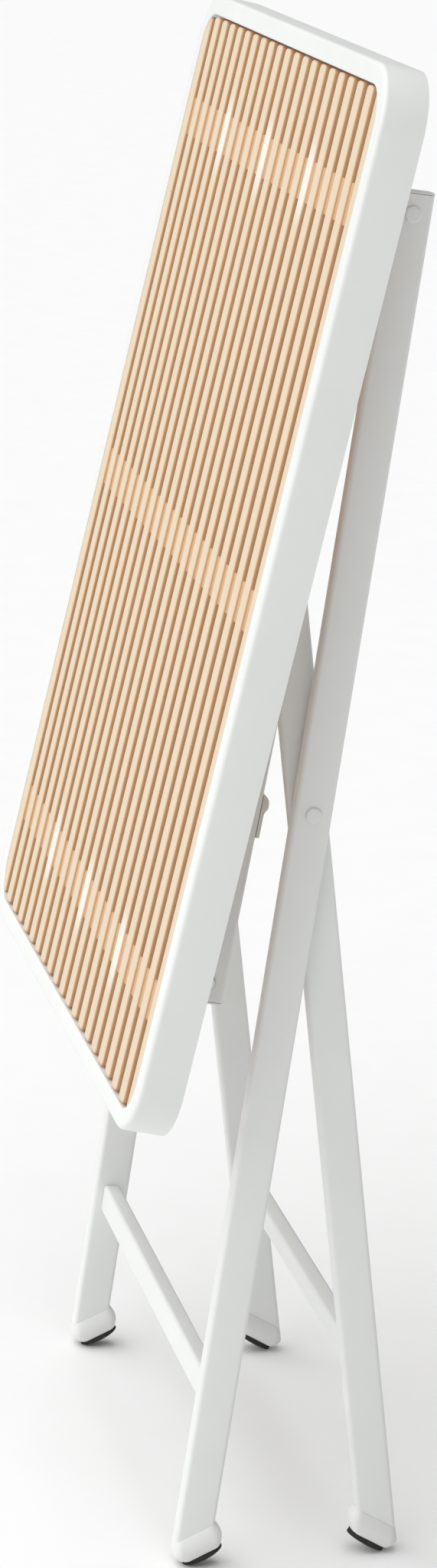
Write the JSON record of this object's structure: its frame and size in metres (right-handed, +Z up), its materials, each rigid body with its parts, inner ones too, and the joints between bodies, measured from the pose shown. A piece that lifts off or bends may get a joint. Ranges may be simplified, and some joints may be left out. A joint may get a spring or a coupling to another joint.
{
  "type": "folding tray table",
  "caption": "Folding tray table: a slatted top in a white rim on two crossed flat-tube leg frames, tied by knee links, standing nearly folded.",
  "frame": {"origin": "middle of the bounding box's floor rectangle, with the table standing nearly folded on its four feet", "axes": "+Z up, +Y along the hinge pins across the table, +X from the table top's upper face towards the legs behind it"},
  "size_m": [0.2224, 0.512, 0.9853],
  "materials": {
    "white_paint": "satin white powder coat on steel tube and rolled rim",
    "slat_plastic": "pale beige moulded plastic, matt",
    "white_plastic": "white moulded plastic shoes and caps",
    "rubber": "dark ribbed rubber soles",
    "plated_steel": "plated rivets and screws",
    "nylon": "off-white nylon washers and catches"
  },
  "bodies": {
    "outer_frame": {"leg_pivot_rivet_left": "white_paint", "leg_pivot_rivet_right": "white_paint", "leg_pivot_washer_left": "nylon", "leg_pivot_washer_right": "nylon", "outer_crossbar": "white_paint", "outer_foot_pad_left": "rubber", "outer_foot_pad_right": "rubber", "outer_leg_cap_left": "white_plastic", "outer_leg_cap_right": "white_plastic", "outer_leg_left": "white_paint", "outer_leg_right": "white_paint", "outer_shoe_left": "white_plastic", "outer_shoe_right": "white_plastic", "top_hinge_rivet_left": "white_paint", "top_hinge_rivet_right": "white_paint", "top_hinge_washer_left": "nylon", "top_hinge_washer_right": "nylon"},
    "inner_frame": {"inner_crossbar": "white_paint", "inner_foot_pad_left": "rubber", "inner_foot_pad_right": "rubber", "inner_leg_cap_left": "white_plastic", "inner_leg_cap_right": "white_plastic", "inner_leg_left": "white_paint", "inner_leg_right": "white_paint", "inner_shoe_left": "white_plastic", "inner_shoe_right": "white_plastic", "knee_rivet_outer_left": "plated_steel", "knee_rivet_outer_right": "plated_steel", "knee_washer_left": "nylon", "knee_washer_right": "nylon"},
    "table_top": {"cross_tube_lower": "white_paint", "cross_tube_upper": "white_paint", "link_hinge_rivet_left": "plated_steel", "link_hinge_rivet_right": "plated_steel", "link_hinge_washer_left": "nylon", "link_hinge_washer_right": "nylon", "lower_hinge_bracket_left": "white_paint", "lower_hinge_bracket_right": "white_paint", "panel_screw_lower_1": "plated_steel", "panel_screw_lower_2": "plated_steel", "panel_screw_lower_3": "plated_steel", "panel_screw_upper_1": "plated_steel", "panel_screw_upper_2": "plated_steel", "panel_screw_upper_3": "plated_steel", "slat_panel": "slat_plastic", "top_rim": "white_paint", "upper_hinge_bracket_left": "white_paint", "upper_hinge_bracket_right": "white_paint"},
    "knee_links": {"folding_catch_left": "nylon", "folding_catch_right": "nylon", "knee_link_left": "white_paint", "knee_link_right": "white_paint", "knee_rivet_inner_left": "plated_steel", "knee_rivet_inner_right": "plated_steel", "link_lower_cap_left": "white_plastic", "link_lower_cap_right": "white_plastic", "link_upper_cap_left": "white_plastic", "link_upper_cap_right": "white_plastic"}
  },
  "joints": [
    {"name": "top_hinge", "type": "hinge", "parent": "outer_frame", "child": "table_top", "pos_m": [0.03793, 0, 0.89243], "axis": [0, 1, 0], "range_deg": [0, 44.16]},
    {"name": "leg_pivot", "type": "hinge", "parent": "outer_frame", "child": "inner_frame", "pos_m": [0.00772, 0, 0.51363], "axis": [0, 1, 0], "range_deg": [-67.93, 0]},
    {"name": "link_hinge", "type": "hinge", "parent": "table_top", "child": "knee_links", "pos_m": [-0.04551, 0, 0.39437], "axis": [0, 1, 0], "range_deg": [0, 50.99]}
  ],
  "couplings": [
    {"joint": "leg_pivot", "follows": "top_hinge", "ratio": -1.5381},
    {"joint": "link_hinge", "follows": "top_hinge", "ratio": 1.1545}
  ]
}
